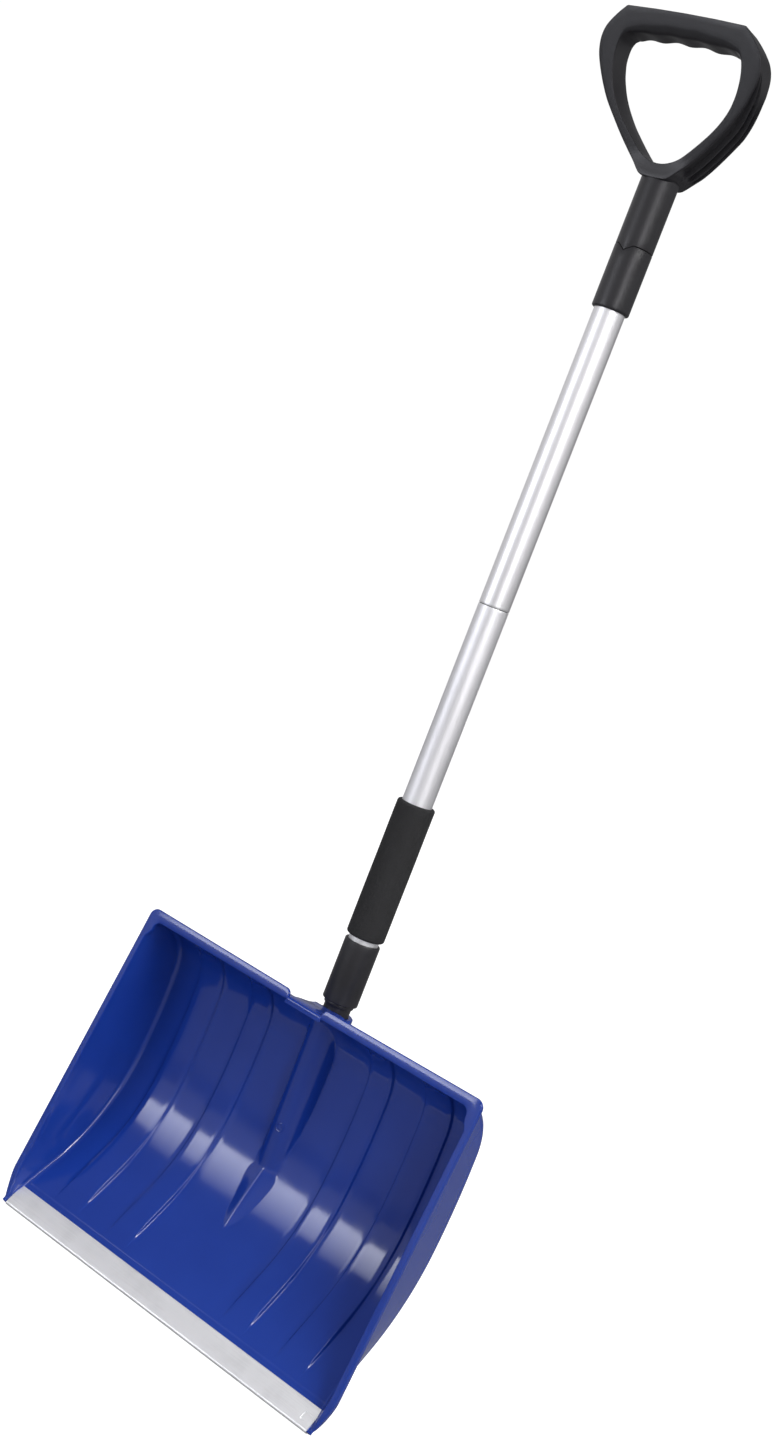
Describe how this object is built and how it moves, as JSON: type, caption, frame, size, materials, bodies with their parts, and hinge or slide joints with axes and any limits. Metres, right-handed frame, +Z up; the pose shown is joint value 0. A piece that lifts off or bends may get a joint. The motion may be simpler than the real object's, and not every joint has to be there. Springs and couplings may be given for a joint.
{
  "type": "snow shovel",
  "caption": "Snow shovel with a curled, ribbed plastic scoop, a folded metal wear strip, a sectional tube shaft with a foam sleeve and a forward-leaning D grip.",
  "frame": {"origin": "bottom centre of the whole shovel's box, under the wear strip's fold; the shaft axis is 50.65 mm behind it", "axes": "+Z up along the shaft axis from the scoop to the D grip, +X to the right across the scoop, the scoop opens towards -Y"},
  "size_m": [0.4194, 0.1435, 1.2588],
  "materials": {
    "scoop_plastic": "glossy moulded polypropylene, royal blue",
    "black_plastic": "satin moulded plastic, near black",
    "foam": "fine closed-cell foam, matt dark grey",
    "lower_tube_metal": "soft satin anodised",
    "upper_tube_metal": "brighter drawn and anodised",
    "strip_metal": "mill finish sheet",
    "button_metal": "zinc-plated",
    "spring_steel": "bright spring steel",
    "screw_metal": "zinc-plated"
  },
  "bodies": {
    "shovel": {"blade_scoop": "scoop_plastic", "wear_strip": "strip_metal", "blade_spigot": "black_plastic", "blade_button_spring": "spring_steel", "lower_collar": "black_plastic", "lower_collar_screw": "screw_metal", "lower_tube": "lower_tube_metal", "foam_grip": "foam", "tube_connector": "black_plastic", "middle_button_spring": "spring_steel", "upper_tube": "upper_tube_metal", "upper_collar": "black_plastic", "upper_collar_screw": "screw_metal", "d_grip": "black_plastic"},
    "blade_button": {"blade_button": "button_metal"},
    "middle_button": {"middle_button": "button_metal"}
  },
  "joints": [
    {"name": "blade_button_press", "type": "slide", "parent": "shovel", "child": "blade_button", "axis": [0, -1, 0], "range_m": [0, 0.0078], "stiffness_N_per_m": 900, "deforming": ["blade_button_spring"]},
    {"name": "middle_button_press", "type": "slide", "parent": "shovel", "child": "middle_button", "axis": [0, -1, 0], "range_m": [0, 0.004], "stiffness_N_per_m": 900, "deforming": ["middle_button_spring"]}
  ]
}
